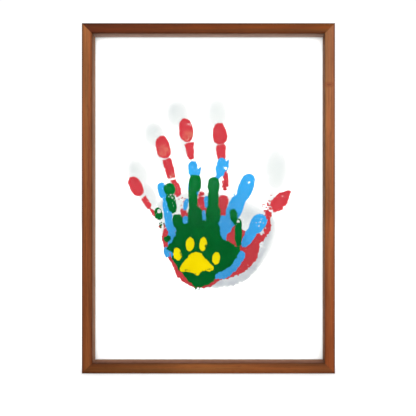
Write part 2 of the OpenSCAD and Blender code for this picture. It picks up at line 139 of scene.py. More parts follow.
class Graph:
    """A material's node tree, with one short method for each kind of node that this scene needs."""

    def __init__(self, name):
        self.material = bpy.data.materials.new(name)
        self.material.use_nodes = True
        self.tree = self.material.node_tree
        self.tree.nodes.clear()
        self.out = self.tree.nodes.new("ShaderNodeOutputMaterial")
        self.place = self.tree.nodes.new("ShaderNodeTexCoord").outputs["Object"]

    def node(self, kind, **settings):
        made = self.tree.nodes.new("ShaderNode" + kind)
        for key, value in settings.items():
            setattr(made, key, value)
        return made

    def put(self, socket, value):
        """Link an output to the socket, or set its value; a colour of three numbers becomes opaque."""
        if isinstance(value, bpy.types.NodeSocket):
            self.tree.links.new(value, socket)
        elif isinstance(value, (tuple, list)) and len(value) == 3 and socket.type == "RGBA":
            socket.default_value = (*value, 1)
        else:
            socket.default_value = value

    def math(self, operation, *values, clamp=False):
        made = self.node("Math", operation=operation, use_clamp=clamp)
        for socket, value in zip(made.inputs, values):
            self.put(socket, value)
        return made.outputs[0]

    def scaled(self, scale, offset=(0, 0, 0)):
        """The place on the object for a noise, with so many waves to the metre along X, Y and Z."""
        made = self.node("Mapping")
        self.put(made.inputs["Vector"], self.place)
        made.inputs["Scale"].default_value = scale
        made.inputs["Location"].default_value = offset
        return made.outputs[0]

    def noise(self, vector, detail=3.0, roughness=0.55, distortion=0.0):
        made = self.node("TexNoise")
        self.put(made.inputs["Vector"], vector)
        made.inputs["Scale"].default_value = 1.0
        made.inputs["Detail"].default_value = detail
        made.inputs["Roughness"].default_value = roughness
        made.inputs["Distortion"].default_value = distortion
        return made.outputs["Fac"]

    def remap(self, value, low, high, to_low=0.0, to_high=1.0):
        """The value, moved from the first range to the second and kept inside it."""
        made = self.node("MapRange")
        for socket, number in zip(made.inputs, (value, low, high, to_low, to_high)):
            self.put(socket, number)
        return made.outputs[0]

    def ramp(self, value, stops):
        made = self.node("ValToRGB")
        elements = made.color_ramp.elements
        while len(elements) < len(stops):
            elements.new(0.5)
        for element, (position, rgb) in zip(elements, stops):
            element.position = position
            element.color = (*rgb, 1)
        self.put(made.inputs[0], value)
        return made.outputs[0]

    def grey_ramp(self, value, stops):
        return self.ramp(value, [(position, (level,) * 3) for position, level in stops])

    def mix(self, factor, a, b, blend="MIX"):
        """Two colours mixed: inputs 6 and 7 and output 2 are the node's sockets for colours."""
        made = self.node("Mix", data_type="RGBA", blend_type=blend)
        self.put(made.inputs[0], factor)
        self.put(made.inputs[6], a)
        self.put(made.inputs[7], b)
        return made.outputs[2]

    def times(self, a, b):
        return self.mix(1.0, a, b, "MULTIPLY")

    def bump(self, height, strength, distance):
        made = self.node("Bump")
        made.inputs["Strength"].default_value = strength
        made.inputs["Distance"].default_value = distance
        self.put(made.inputs["Height"], height)
        return made.outputs[0]

    def axes(self):
        split = self.node("SeparateXYZ")
        self.put(split.inputs[0], self.place)
        return split.outputs

    def reach(self, x, z, centre, size):
        """How far a point lies from the centre: 1 on the ellipse with these half sizes in x and z."""
        dx = self.math("DIVIDE", self.math("SUBTRACT", x, centre[0]), size[0])
        dz = self.math("DIVIDE", self.math("SUBTRACT", z, centre[1]), size[1])
        squared = self.math("ADD", self.math("MULTIPLY", dx, dx), self.math("MULTIPLY", dz, dz))
        return self.math("SQRT", squared)

    def principled(self, colour, roughness, normal=None, metallic=0.0, specular=0.5):
        made = self.node("BsdfPrincipled")
        self.put(made.inputs["Base Color"], colour)
        self.put(made.inputs["Roughness"], roughness)
        made.inputs["Metallic"].default_value = metallic
        made.inputs["Specular IOR Level"].default_value = specular
        if normal:
            self.put(made.inputs["Normal"], normal)
        self.show(made.outputs[0])

    def show(self, shader):
        self.tree.links.new(shader, self.out.inputs["Surface"])


# Wood: the axis that each rail lies along, its colour at its start, middle and end and on the recess's wall,
# as seen in sRGB, the seed of its grain and the place (x, z) of its knot.
# The colours are seen in the studio's light and through the varnish's sheen, so both are taken out again,
# and no part of a colour falls below DARKEST. Some light stays painted in all the same: the rails differ
# partly by the wood's own tone and partly by the sheen that each rail's grain catches, and the wall's colour
# holds the light that the white paper bounces onto it.
WOOD_LIGHT = 2.12
WOOD_SHEEN = 0.012
DARKEST = 0.003
RailLook = namedtuple("RailLook", "along start middle end wall seed knot", defaults=(None,))
RAIL_LOOKS = {
    "left_rail": RailLook(
        along="z", start=(130, 74, 42), middle=(134, 78, 44), end=(163, 102, 60),
        wall=(166, 124, 98), seed=3,
    ),
    "right_rail": RailLook(
        along="z", start=(149, 79, 44), middle=(170, 101, 57), end=(172, 111, 73),
        wall=(138, 98, 78), seed=11, knot=(0.1066, 0.2555),
    ),
    "top_rail": RailLook(
        along="x", start=(97, 51, 22), middle=(118, 63, 27), end=(133, 74, 37),
        wall=(166, 134, 116), seed=23,
    ),
    "bottom_rail": RailLook(
        along="x", start=(103, 58, 34), middle=(149, 90, 51), end=(125, 72, 44),
        wall=(152, 106, 84), seed=37,
    ),
}
# What the face's tone is multiplied by, from the outer edge (0) to the recess (1): painted shade with some
# staining on both rounded edges, lighter between them
FACE_SHADE_AND_STAIN = [(0, 0.4), (0.08, 0.62), (0.18, 0.98), (0.45, 1.14), (0.75, 1.02), (0.92, 0.86), (0.99, 0.6)]
# A side rail goes from a greener to a redder brown from left to right
SIDE_LEAN = [(0, (0.95, 1.04, 1.02)), (1, (1.06, 0.94, 1.02))]
# The face's tone fades out between these depths behind the face
SIDE_DEPTHS = (0.9 * MM, 2.2 * MM)
# What the recess's wall is multiplied by: painted shade beside the face, and painted light bounced from the
# white paper beside the pane
WALL_SHADE_NEAR_FACE = (0.6, 0.5, 0.45)
WALL_BOUNCE_LIGHT_NEAR_PANE = (1.4, 1.5, 1.6)
# Half the width of the dark line at each mitre, and its colour
MITRE_LINE = 0.14 * MM
MITRE_TONE = (0.016, 0.007, 0.004)
# The knot's half sizes in x and z, and its colours
KNOT_SIZE = (4.2 * MM, 1.9 * MM)
KNOT_RINGS = ((0.1, 0.027, 0.009), (0.18, 0.052, 0.017))
KNOT_EYE = (0.06, 0.018, 0.007)


def stained(rgb):
    """The wood's own colour, without the studio's light and the varnish's sheen."""
    return tuple(max(v - WOOD_SHEEN, DARKEST) / WOOD_LIGHT for v in linear(rgb))


def wood(name, rail_look):
    """Stained and varnished wood: face, sides, recess, mitres and any knot of one rail, with painted shade on
    the face's rounded edges and painted shade and bounced light on the recess's wall.
    """
    g = Graph(name)
    x, y, z = g.axes()
    side = rail_look.along == "z"
    along, across = (z, x) if side else (x, z)
    along_middle, across_middle = (MID_Z, 0) if side else (0, MID_Z)
    half_along, half_across = (FRAME_H / 2, FRAME_W / 2) if side else (FRAME_W / 2, FRAME_H / 2)
    from_middle = g.math("ABSOLUTE", g.math("SUBTRACT", across, across_middle))
    from_edge = g.math("SUBTRACT", half_across, from_middle)
    from_end = g.math("SUBTRACT", half_along, g.math("ABSOLUTE", g.math("SUBTRACT", along, along_middle)))
    face_share = g.math("DIVIDE", from_edge, RAIL_FACE)

    # Its colours from start to end: partly the wood's own tone, partly painted light from the sheen that its
    # grain catches
    share_along = g.remap(along, along_middle - half_along, along_middle + half_along)
    shades = [(0, stained(rail_look.start)), (0.5, stained(rail_look.middle)), (1, stained(rail_look.end))]
    tone, bands, streaks, fibres, pores = wood_grain(g, rail_look, g.ramp(share_along, shades))
    if side:
        rail_low, rail_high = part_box(name)
        tone = g.times(tone, g.ramp(g.remap(x, rail_low.x, rail_high.x), SIDE_LEAN))

    # Across the face, painted shade with some gathered staining darkens both rounded edges and the middle is
    # lighter; the sides have none of this
    on_side = g.remap(y, FACE_Y + SIDE_DEPTHS[0], FACE_Y + SIDE_DEPTHS[1])
    tone = g.times(tone, g.mix(on_side, g.grey_ramp(face_share, FACE_SHADE_AND_STAIN), (1, 1, 1)))
    # On the recess's wall the tone has painted shade beside the face and painted light bounced from the paper
    # towards the pane
    inner_wall = g.math("MULTIPLY", on_side, g.remap(face_share, 0.9, 0.98))
    tone = g.mix(inner_wall, tone, recess_wall_with_painted_light(g, rail_look, y, streaks))
    height = streaks
    if rail_look.knot:
        tone, knot_height = add_knot(g, tone, g.reach(x, z, rail_look.knot, KNOT_SIZE))
        height = g.math("MULTIPLY_ADD", knot_height, 0.4, streaks)
    mitre = g.math("ABSOLUTE", g.math("SUBTRACT", from_edge, from_end))
    tone = g.mix(g.remap(mitre, 0.3 * MITRE_LINE, MITRE_LINE, 0.4, 0), tone, MITRE_TONE)

    height = g.math("MULTIPLY_ADD", pores, 0.5, height)
    height = g.math("MULTIPLY_ADD", fibres, 0.25, height)
    varnish = g.remap(bands, 0.3, 0.7, 0.36, 0.5)
    g.principled(
        tone, g.math("MULTIPLY_ADD", inner_wall, 0.35, varnish),
        normal=g.bump(height, 0.3, 0.12 * MM), specular=0.06,
    )
    return g.material


def wood_grain(g, rail_look, tone):
    """The tone with bands, streaks, fibres and pores along the rail, and the noises behind these four."""

    def grain(along_waves, across_waves, **look):
        waves = [across_waves] * 3
        waves["xyz".index(rail_look.along)] = along_waves
        return g.noise(g.scaled(waves, (rail_look.seed, rail_look.seed * 1.7, rail_look.seed * 0.6)), **look)

    bands = grain(9, 210, detail=3, distortion=0.5)
    warmth = grain(5, 330, detail=2, distortion=0.3)
    streaks = grain(26, 900, detail=4, roughness=0.65)
    fibres = grain(90, 4200, detail=3, roughness=0.7)
    cloud = grain(14, 26, detail=2)
    pores = g.grey_ramp(grain(160, 3000, detail=2), [(0.30, 0), (0.40, 1)])
    tone = g.times(tone, g.grey_ramp(bands, [(0.3, 0.72), (0.5, 1.0), (0.7, 1.25)]))
    tone = g.times(tone, g.ramp(warmth, [(0.36, (0.93, 1.06, 1.12)), (0.62, (1.06, 0.93, 0.86))]))
    tone = g.times(tone, g.grey_ramp(streaks, [(0.3, 0.76), (0.5, 1.0), (0.72, 1.18)]))
    tone = g.times(tone, g.grey_ramp(fibres, [(0.3, 0.88), (0.7, 1.1)]))
    tone = g.times(tone, g.grey_ramp(cloud, [(0.3, 0.86), (0.7, 1.12)]))
    tone = g.times(tone, g.grey_ramp(pores, [(0, 0.62), (1, 1)]))
    return tone, bands, streaks, fibres, pores


def recess_wall_with_painted_light(g, rail_look, y, streaks):
    """The recess's wall: stained brown, darkened by painted shade beside the face, and paler and greyer
    towards the pane with painted light bounced from the white paper.
    """
    depth = g.remap(y, FACE_Y + 1 * MM, 0)
    tone = g.times(stained(rail_look.wall), g.ramp(depth, [(0, WALL_SHADE_NEAR_FACE), (1, WALL_BOUNCE_LIGHT_NEAR_PANE)]))
    return g.times(tone, g.grey_ramp(streaks, [(0.3, 0.85), (0.7, 1.12)]))


def add_knot(g, tone, reach):
    """The tone with a small knot in it, rings round a darker eye, and the knot's relief."""
    wobble = g.noise(g.scaled((300, 300, 90)), detail=2)
    reach = g.math("ADD", reach, g.remap(wobble, 0, 1, -0.25, 0.25))
    rings = g.math("SINE", g.math("MULTIPLY", reach, 11))
    inside = g.remap(reach, 0.5, 1.7, 1, 0)
    ring_tone = g.mix(g.remap(rings, -1, 1), *KNOT_RINGS)
    eye = g.mix(g.remap(reach, 0.15, 0.5, 0.8, 0), ring_tone, KNOT_EYE)
    return g.mix(g.math("MULTIPLY", inside, 0.8), tone, eye), g.math("MULTIPLY", rings, inside)


# The pane: its low-reflection finish mirrors as little as a surface of this refractive index would
PANE_IOR = 1.05
PANE_TINT = (0.992, 0.996, 0.994)


def clear_pane(name):
    """A clear sheet with a low-reflection finish: see-through face on, and glossy only at a slant."""
    g = Graph(name)
    fresnel = g.node("Fresnel")
    fresnel.inputs["IOR"].default_value = PANE_IOR
    gloss = g.node("BsdfGlossy")
    g.put(gloss.inputs["Color"], (1, 1, 1))
    smear = g.noise(g.scaled((18, 18, 18)), detail=2)
    g.put(gloss.inputs["Roughness"], g.remap(smear, 0.35, 0.7, 0.02, 0.06))
    clear = g.node("BsdfTransparent")
    g.put(clear.inputs["Color"], PANE_TINT)
    mix = g.node("MixShader")
    g.put(mix.inputs[0], fresnel.outputs[0])
    g.put(mix.inputs[1], clear.outputs[0])
    g.put(mix.inputs[2], gloss.outputs[0])
    g.show(mix.outputs[0])
    return g.material


# Paper: its two whites, in linear light
PAPER_WHITE = (0.93, 0.93, 0.925)
PAPER_BRIGHT = (0.95, 0.95, 0.945)


def paper(name):
    """Smooth white paper with a faint tooth."""
    g = Graph(name)
    cloud = g.noise(g.scaled((35, 35, 35)), detail=2)
    tooth = g.noise(g.scaled((1800, 1800, 1800)), detail=2)
    g.principled(
        g.mix(cloud, PAPER_WHITE, PAPER_BRIGHT), 0.85,
        normal=g.bump(tooth, 0.12, 0.05 * MM), specular=0.1,
    )
    return g.material


# Card and fibreboard in sRGB: the card's pulp and flecks, and the bark specks in the fibreboard
CARD_PULP = ((196, 184, 160), (222, 212, 190))
CARD_FLECK = (150, 132, 106)
BARK_SPECK = (70, 44, 26)


def card(name):
    """Grey board with loose fibres and flecks, hidden between the sheet and the back board."""
    g = Graph(name)
    pulp = g.noise(g.scaled((420, 420, 420)), detail=4)
    flecks = g.grey_ramp(g.noise(g.scaled((1500, 1500, 500)), detail=2), [(0.62, 0), (0.7, 1)])
    tone = g.mix(pulp, linear(CARD_PULP[0]), linear(CARD_PULP[1]))
    g.principled(
        g.mix(flecks, tone, linear(CARD_FLECK)), 0.9,
        normal=g.bump(pulp, 0.3, 0.1 * MM), specular=0.15,
    )
    return g.material


def fibreboard(name, dark, light, seed):
    """Pressed fibre: short pale and dark fibres in every direction over a mottled brown."""
    g = Graph(name)
    mottle = g.noise(g.scaled((95, 95, 95), (seed, 0, seed)), detail=5, roughness=0.7)
    flat_fibre = g.noise(g.scaled((300, 900, 2600), (seed, 2, 0)), detail=3, distortion=1.2)
    tall_fibre = g.noise(g.scaled((2600, 900, 300), (0, 5, seed)), detail=3, distortion=1.2)
    fibre = g.math("MAXIMUM", flat_fibre, tall_fibre)
    specks = g.grey_ramp(g.noise(g.scaled((900, 900, 900)), detail=1), [(0.28, 1), (0.36, 0)])
    tone = g.mix(g.remap(mottle, 0.2, 0.8), linear(dark), linear(light))
    tone = g.times(tone, g.grey_ramp(fibre, [(0.42, 0.7), (0.62, 1.12), (0.75, 1.35)]))
    tone = g.mix(g.math("MULTIPLY", specks, 0.6), tone, linear(BARK_SPECK))
    g.principled(
        tone, g.remap(fibre, 0.4, 0.75, 0.6, 0.8), normal=g.bump(fibre, 0.4, 0.15 * MM), specular=0.2,
    )
    return g.material


def plated_steel(name, dark, light, rough, brush):
    """Plated sheet steel: rolling marks, a few scratches and patches where the plating is duller."""
    g = Graph(name)
    rolled = g.noise(g.scaled(brush), detail=3, roughness=0.7)
    patches = g.noise(g.scaled((260, 260, 260), (4, 9, 2)), detail=4)
    scratch = g.grey_ramp(
        g.noise(g.scaled((2600, 1500, 240), (1, 1, 7)), detail=1, distortion=0.6), [(0.70, 0), (0.74, 1)],
    )
    tone = g.mix(g.remap(patches, 0.3, 0.7), linear(dark), linear(light))
    tone = g.times(tone, g.grey_ramp(rolled, [(0.3, 0.9), (0.7, 1.06)]))
    dull = g.remap(patches, 0.3, 0.7, rough + 0.1, rough)
    g.principled(
        tone, g.math("MULTIPLY_ADD", scratch, 0.12, dull),
        normal=g.bump(g.math("MULTIPLY_ADD", scratch, -0.5, rolled), 0.15, 0.04 * MM), metallic=1.0,
    )
    return g.material


# Paint: its colour on the finger pads, on the palm and where the film is thin, as seen in sRGB; the palm's
# middle and reach in millimetres; the seed of its clouds and streaks; and the spots with skin lines
# (x, z, radius) with their colour. The colours are seen in the studio's light, which is taken out again.
PAINT_LIGHT = 1.92
Paint = namedtuple("Paint", "fingers palm thin centre reach seed lines scratch", defaults=((), None))
PAINTS = {
    "handprint_red": Paint(
        fingers=(218, 64, 73), palm=(197, 62, 68), thin=(224, 84, 88), centre=(6, -46), reach=62, seed=5,
        lines=((-41, 44, 6.5), (-19, 57, 6), (-33, 20, 3)), scratch=(255, 190, 150),
    ),
    "handprint_blue": Paint(
        fingers=(60, 178, 250), palm=(62, 156, 222), thin=(104, 190, 240), centre=(0, -46), reach=56, seed=9,
    ),
    "handprint_green": Paint(
        fingers=(3, 117, 46), palm=(0, 94, 36), thin=(18, 124, 58), centre=(-6, -46), reach=50, seed=13,
    ),
    "pawprint_yellow": Paint(
        fingers=(250, 229, 8), palm=(255, 227, 0), thin=(244, 218, 20), centre=(-10, -60), reach=14, seed=17,
    ),
}


def dimmed(rgb):
    """The paint's own colour, without the studio's light."""
    return tuple(v / PAINT_LIGHT for v in linear(rgb))


def paint(name, look):
    """Paint that a hand or a paw pressed on: cloudy, streaked where the film is thin, and matt."""
    g = Graph(name)
    x, _, z = g.axes()
    centre = (look.centre[0] * MM, MID_Z + look.centre[1] * MM)
    reach = g.reach(x, z, centre, (look.reach * MM, look.reach * MM))
    cloud = g.noise(g.scaled((130, 130, 130), (look.seed, 0, 0)), detail=3)
    drag = g.noise(g.scaled((420, 420, 420), (0, look.seed, 0)), detail=4, roughness=0.65)
    ridges = g.noise(g.scaled((1500, 1500, 1500)), detail=2)
    where = g.math("ADD", g.remap(reach, 0.55, 1.1), g.remap(cloud, 0, 1, -0.3, 0.3), clamp=True)
    tone = g.mix(where, dimmed(look.palm), dimmed(look.fingers))
    thin = g.grey_ramp(drag, [(0.5, 0), (0.72, 1)])
    tone = g.mix(g.math("MULTIPLY", thin, 0.3), tone, dimmed(look.thin))
    if look.lines:
        tone = g.mix(skin_lines(g, name, look), tone, dimmed(look.scratch))
    tone = g.times(tone, g.grey_ramp(cloud, [(0.3, 0.93), (0.7, 1.05)]))
    height = g.math("MULTIPLY_ADD", ridges, 0.35, drag)
    roughness = g.remap(drag, 0.35, 0.7, 0.5, 0.66)
    g.principled(tone, roughness, normal=g.bump(height, 0.35, 0.12 * MM), specular=0.005)
    return g.material


def skin_lines(g, name, look):
    """How far the paint was lifted in short curling scratches, in the look's own spots only."""
    curl = g.noise(g.scaled((440, 440, 300), (0, 0, look.seed)), detail=1)
    line = g.remap(g.math("ABSOLUTE", g.math("SUBTRACT", curl, 0.5)), 0.01, 0.045, 1, 0)
    near_spot = 0
    for spot_x, spot_z, radius in look.lines:
        away = g.node("VectorMath", operation="DISTANCE")
        g.put(away.inputs[0], g.place)
        away.inputs[1].default_value = (spot_x * MM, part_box(name)[0].y, MID_Z + spot_z * MM)
        near = g.remap(away.outputs["Value"], 0.6 * radius * MM, radius * MM, 0.8, 0)
        near_spot = g.math("MAXIMUM", near_spot, near)
    return g.math("MULTIPLY", line, near_spot)


# White paint as seen in sRGB: its two faint tones, the grey of the shadow painted along its side, and its
# edge
WHITE_FAINT = ((239, 243, 242), (245, 248, 247))
WHITE_SHADOW_GREY = (196, 200, 207)
WHITE_RIM = (255, 255, 255)


def white_paint(name):
    """White paint on white paper: its edge has the paper's own colour, and a shadow is painted in grey along
    its side and between the fingers.
    """
    g = Graph(name)
    cover = g.node("Attribute", attribute_name="cover").outputs["Fac"]
    shade = g.node("Attribute", attribute_name="shade").outputs["Fac"]
    drag = g.noise(g.scaled((260, 260, 260)), detail=4, roughness=0.6)
    faint = g.mix(g.remap(drag, 0.35, 0.7), dimmed(WHITE_FAINT[0]), dimmed(WHITE_FAINT[1]))
    # The painted shadow greys the white paint
    tone = g.mix(shade, faint, dimmed(WHITE_SHADOW_GREY))
    edge = g.mix(g.remap(cover, 0, 0.3), PAPER_WHITE, dimmed(WHITE_RIM))
    tone = g.mix(g.remap(cover, 0.3, 1), edge, tone)
    g.principled(tone, 0.7, normal=g.bump(drag, 0.2, 0.08 * MM), specular=0.08)
    return g.material


# Prints, in millimetres from the middle of the sheet. A pad is one patch that a finger leaves: x, z, half
# width, half length, tilt to the left in degrees, taper towards the top (negative is narrower), squareness
# (2 is an ellipse) and dryness of the paint. An outline is a palm or another free shape: a few points,
# rounded between them. A hole is a bare spot: x, z and radius. A spray is a patch of small dots: x, z, how
# far the dots reach and how many there are. Ragged is how rough the edges are, and a lower number for
# flecks gives more of them.
Pad = namedtuple("Pad", "x z half_w half_l tilt taper square dry", defaults=(0, 0, 2, 0))
Print = namedtuple("Print", "pads outlines holes seed ragged flecks sprays", defaults=((),))

RED_PALM = [
    (-43.6, -31.5), (-37, -24.6), (-29, -26), (-22, -14), (-8, -16), (8, -18), (15, -22), (24, -23.4),
    (32, -29.6), (42, -31.6), (49, -33), (49.4, -38), (45.6, -42), (45.4, -50), (42.6, -57), (34, -66),
    (22, -72), (8, -75), (0, -81.6), (-14, -81.6), (-26, -75.4), (-32, -65), (-37, -54), (-42, -44),
]
RED_THUMB_TIP = [
    (75, 7.4), (73.6, 1), (70, -6.4), (64.6, -11.6), (58.6, -12.6), (56.6, -9.4), (55.4, -4.4), (58.8, 0.8),
    (63, 4.6), (69, 6.6),
]
RED_THUMB_EDGE = [
    (55, -16), (56.8, -24), (55.4, -30), (51.4, -36), (47, -41), (42, -42), (45.6, -36.6), (49.6, -32),
    (51.6, -26), (52, -18),
]
RED = Print(
    pads=[
        Pad(-66.7, 11, 5.7, 9.8, 30, -0.04, 2.2), Pad(-57, -3.6, 2.7, 5.8, 33, 0.06, 5),
        Pad(-51, -13.4, 1.5, 5.2, 25, 0, 2, 0.2), Pad(-43.8, -24.4, 0.9, 2.4, -50, 0, 2, 0.4),
        Pad(-41.9, 46.5, 6.4, 10.3, 13, -0.06, 2.6), Pad(-36.3, 27, 4.1, 9.2, 15, 0.05, 8),
        Pad(-32.2, 14.8, 3, 3, 20, 0, 3, 0.15), Pad(-29.3, 8, 3.6, 6.8, 7, -0.1, 2.4, 0.12),
        Pad(-20.9, 62.1, 6.4, 10.8, 9, -0.06, 2.3),
        Pad(-17.3, 43.1, 3.6, 7.9, 8, 0.28, 7), Pad(9.8, 59, 6.5, 9.9, 5, -0.18, 2.3),
        Pad(10.9, 41.6, 4.3, 7.1, 3, 0.12, 5), Pad(14.8, 16.2, 3, 8.8, -3, -0.2, 2.4, 0.12),
        Pad(14, 9.2, 2.4, 2.4, 0, 0, 2, 0.3), Pad(57.4, 2, 0.6, 2.4, 70), Pad(56, -2.6, 0.5, 2.4, 82),
        Pad(55.4, -6.4, 0.5, 2.4, 95), Pad(56, -9.6, 0.5, 2.4, 88), Pad(53.6, -13.6, 4.4, 3.4, -34, 0, 2, 1),
        Pad(52.2, -22, 2.6, 7, -14, 0, 2, 0.8), Pad(-7, 4, 3.4, 2.4, 0, 0, 2, 1.1),
        Pad(-22.8, -13.8, 3.1, 5.2, 18, -0.2, 2.6, 0.1),
    ],
    outlines=[
        RED_PALM, RED_THUMB_TIP, RED_THUMB_EDGE,
        [(6.6, 2.4), (17.4, 2.6), (18, -3.6), (15.6, -9), (15, -20), (6.6, -20)],
        [(-16, -3.4), (-9.6, 1.6), (-1, 1.8), (-0.6, -9), (-3.4, -15.6), (-7.4, -10.6), (-12.4, -7.4)],
    ],
    holes=[(-14.8, 54.8, 0.55), (-14, 56.6, 0.4), (12.8, 17, 0.8), (-33, 18.4, 0.6), (-30.6, 18.8, 0.5)],
    seed=41, ragged=0.8, flecks=0.78,
    sprays=[
        (-25.6, -2.4, 4.6, 11), (-8, 3.6, 3.6, 9), (52.4, -8, 4.6, 18), (50, -18.4, 3.6, 12),
        (-41.6, -26, 3.4, 9),
    ],
)
BLUE = Print(
    pads=[
        Pad(-42.8, 7, 3.6, 7.6, 13, 0.1, 3), Pad(-38, -9, 3.8, 14, 8, -0.1, 2.6),
        Pad(-35.4, -24, 4.4, 7.4, 20, -0.1, 2.6), Pad(-34.6, -33, 3, 6.6, -14, 0, 2.4, 0.1),
        Pad(-38.6, -49, 2.8, 4.6, 10, 0, 2.4), Pad(-14.8, 26.6, 4.4, 7.4, 2, 0, 2.6),
        Pad(-9.2, 23.6, 1.5, 5.2, -14, 0, 2.4), Pad(-14, 10, 5.2, 10),
        Pad(-21.2, -5.6, 2.2, 5.4, -10, 0, 2.6), Pad(-21.6, -20.6, 2.8, 4.4, 0, 0, 2.6),
        Pad(-13.4, -5.4, 1.9, 2),
        Pad(10.8, 28, 4.4, 8.8, -9, 0, 2.6), Pad(16.4, 29.6, 1.7, 4.8, -6, 0, 2.4),
        Pad(6.6, 17.6, 1.9, 4.4, -38, 0, 2.6, 0.1), Pad(-2, -3.4, 2.5, 5.6, 4, 0, 2.6),
        Pad(-5.4, -15.6, 2.1, 4.6, -10, 0, 2.6), Pad(33.4, 9.8, 6.8, 13.4, -20, -0.02, 2.4),
        Pad(24, -8.4, 7.2, 12.6, -24, -0.04, 2.6), Pad(23.2, 3.2, 0.7, 4.2, -4),
        Pad(21.4, 0.6, 0.5, 3.4, -8), Pad(44.4, -23, 7, 9.4, -35, 0, 2.3, 0.06),
        Pad(36.3, -35.2, 4.8, 10.6, -32, 0.14, 2.4, 0.05),
    ],
    outlines=[[
        (-38, -40), (-24, -22), (4, -12), (13, -16), (24, -18), (25, -23), (18, -31), (15, -39), (26, -46),
        (31.4, -48), (33.4, -53), (28, -61), (23, -67), (15.6, -72.8), (9, -73.6), (-8, -73), (-24, -66),
        (-31, -59), (-36, -50),
    ]],
    holes=[
        (15, 27.6, 1.2), (-9.8, 29.4, 1), (36.6, 14.4, 0.8), (42.8, -22, 0.5), (45.4, -25, 0.5),
        (47.4, -19, 0.4), (49, -22.6, 0.45), (47.8, -27, 0.4), (44.6, -18, 0.35), (46.4, -21.6, 0.4),
    ],
    seed=42, ragged=0.75, flecks=0.84, sprays=[(50, -19.6, 3, 7), (6, 19.4, 3, 7)],
)
GREEN = Print(
    pads=[
        Pad(-46, -14.2, 3.7, 5.8, 12, 0, 2.2), Pad(-43.6, -24.6, 1.1, 1.2, 0, 0, 2, 0.1),
        Pad(-38, -36.6, 3.4, 2.8, 20, 0, 2.2, 0.1), Pad(-36, 8.4, 5.2, 5.6, 20, 0, 2.4),
        Pad(-34.2, -4.4, 4.2, 9.8, 14, 0, 2.6, 0.06), Pad(-28.8, -20.4, 4.6, 6, 4, 0, 3),
        Pad(-12.8, 13.6, 5.7, 8, 0, 0, 2.6), Pad(-14.7, 0, 4.1, 11, 2, 0, 3),
        Pad(-12.8, -15.6, 6.7, 8, 0, -0.05, 3), Pad(4.2, 11, 5.4, 8.2, -3, 0, 2.5),
        Pad(3.8, -1, 4.9, 9.6, 0, 0, 3), Pad(3.6, -14.4, 6.8, 9, -3, -0.05, 3),
        Pad(22.2, -15.4, 3.4, 6, 8, 0, 2.6), Pad(26.6, -31, 3.3, 12.4, 0, 0, 3), Pad(25, -21.4, 3, 3.8, 50),
        Pad(-12, -82, 0.8, 1.3), Pad(-9.2, -83.2, 0.7, 0.6),
    ],
    outlines=[[
        (-30, -24), (-19, -22), (-14, -19), (2, -19), (9.6, -22), (9.8, -33), (13, -37.4), (19, -39.6),
        (24, -43.6), (29.4, -43.6), (27, -50), (22.8, -57.4), (15.6, -64.4), (6.8, -67.6), (5.6, -75),
        (-3, -80), (-12, -81.4), (-18, -76), (-23, -69.6), (-30, -62), (-34.4, -54), (-33, -49.4),
        (-40, -44.8), (-33, -39), (-29.4, -30),
    ]],
    holes=[
        (-45.4, -11.8, 1.7), (26.5, -20.6, 1.3), (-33.4, 0.4, 0.9), (-35, 3, 0.5), (-31.6, -1.6, 0.6),
        (-36.6, 1.4, 0.5), (-1.3, -31.4, 0.5), (5, 14.6, 0.45), (6.3, 12.2, 0.4),
    ],
    seed=43, ragged=0.8, flecks=0.9, sprays=[(-42.4, -24.4, 3, 6), (-10.4, -82, 2.6, 5)],
)
PAW = Print(
    pads=[
        Pad(-28.7, -50.8, 3.7, 5.8, 6, 0, 2, 0.03), Pad(-17.4, -41.7, 3.8, 6.2, -5),
        Pad(-5.4, -41.4, 3.4, 6.1, -5, 0, 2, 0.03), Pad(6.3, -54.6, 3.6, 5.6, -6),
    ],
    outlines=[[
        (-14.4, -49), (-8, -49), (-5.4, -51.8), (-2.6, -56.4), (3.4, -61.4), (4.4, -65), (1, -67), (-4, -66),
        (-8.4, -66.6), (-9.2, -69.8), (-12.2, -70.6), (-13.8, -67.2), (-20, -66.8), (-26.4, -67),
        (-26.2, -62), (-21, -56.2), (-17.4, -51.6),
    ]],
    holes=[
        (-2.6, -42.6, 0.8), (-3.6, -44, 0.8), (-2.8, -45.6, 0.6), (-26.2, -50, 0.6), (-25.8, -52, 0.7),
        (-21.4, -65.4, 0.45), (-19.8, -65.2, 0.45), (-18, -65.6, 0.4), (-3, -65, 0.4), (-1.2, -64.6, 0.5),
        (0.6, -64.2, 0.45), (2, -63.8, 0.4), (-12.6, -68.4, 0.35),
    ],
    seed=44, ragged=0.6, flecks=0.9,
)
WHITE = Print(
    pads=[
        Pad(-65, 23, 10, 15, 24), Pad(-56, 2, 9, 17, 24), Pad(-50, 58, 10.5, 13.5, 15),
        Pad(-42, 38, 7, 15, 15), Pad(-29, 77, 11.5, 14, 8), Pad(-22, 52, 6.4, 16, 9),
        Pad(7.4, 77, 10.4, 15), Pad(9, 52, 6.2, 16, -2), Pad(61, 26, 11.4, 21, -2), Pad(58, -4, 6, 14, 4),
    ],
    outlines=[[
        (-52, -6), (-40, 4), (-10, 8), (20, 4), (40, -4), (57, -12), (63, -22), (62, -36), (55.4, -52),
        (43, -67.4), (27, -78), (8, -81.6), (-14, -80), (-34, -62), (-44, -36),
    ]],
    holes=[], seed=29, ragged=0.7, flecks=1,
)

# The grids that the prints are worked out on, in millimetres
PRINT_STEP = 0.35
WHITE_STEP = 1.0
PRINT_LOW = (-80, -88)
PRINT_HIGH = (80, 98)
